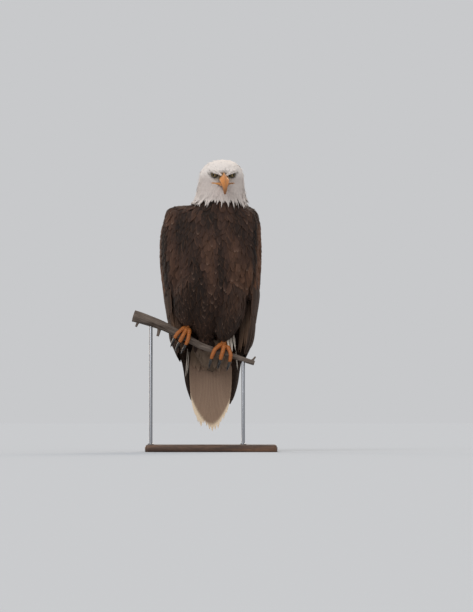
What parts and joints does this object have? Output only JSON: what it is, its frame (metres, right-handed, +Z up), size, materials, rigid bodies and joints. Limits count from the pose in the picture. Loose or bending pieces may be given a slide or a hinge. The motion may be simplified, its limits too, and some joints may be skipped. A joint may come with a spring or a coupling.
{
  "type": "bald eagle model",
  "caption": "Life-size bald eagle perched upright with folded wings, gripping a short branch held over a flat base by two rods.",
  "frame": {"origin": "middle of the underside of the stand's base plate", "axes": "+Z up, the bird faces -Y, +X towards the bird's left side"},
  "size_m": [0.4212, 0.2593, 0.847],
  "materials": {
    "white_feathers": "soft white feathers",
    "brown_feathers": "dark brown feathers with paler rusty edges",
    "dark_feathers": "blackish brown flight feathers",
    "bill_horn": "satin orange-yellow horn",
    "eye": "glossy pale yellow eye with a black pupil",
    "foot_skin": "scaly orange-yellow skin",
    "talon_horn": "satin black horn",
    "bark": "weathered grey-brown bark",
    "base_wood": "dark stained wood",
    "rod_steel": "brushed steel"
  },
  "bodies": {
    "root": {"head": "white_feathers", "neck": "white_feathers", "bill_upper": "bill_horn", "bill_lower": "bill_horn", "eye_right": "eye", "eye_left": "eye", "trunk": "brown_feathers", "thigh_right": "brown_feathers", "thigh_left": "brown_feathers", "tail": "white_feathers", "undertail_coverts": "white_feathers", "wing_right_coverts": "brown_feathers", "wing_right_secondaries": "dark_feathers", "wing_right_primaries": "dark_feathers", "wing_left_coverts": "brown_feathers", "wing_left_secondaries": "dark_feathers", "wing_left_primaries": "dark_feathers", "foot_right": "foot_skin", "talon_right_outer": "talon_horn", "talon_right_middle": "talon_horn", "talon_right_inner": "talon_horn", "talon_right_hind": "talon_horn", "foot_left": "foot_skin", "talon_left_inner": "talon_horn", "talon_left_middle": "talon_horn", "talon_left_outer": "talon_horn", "talon_left_hind": "talon_horn", "perch": "bark", "stand_base": "base_wood", "stand_rod_right": "rod_steel", "stand_rod_left": "rod_steel"}
  },
  "joints": []
}
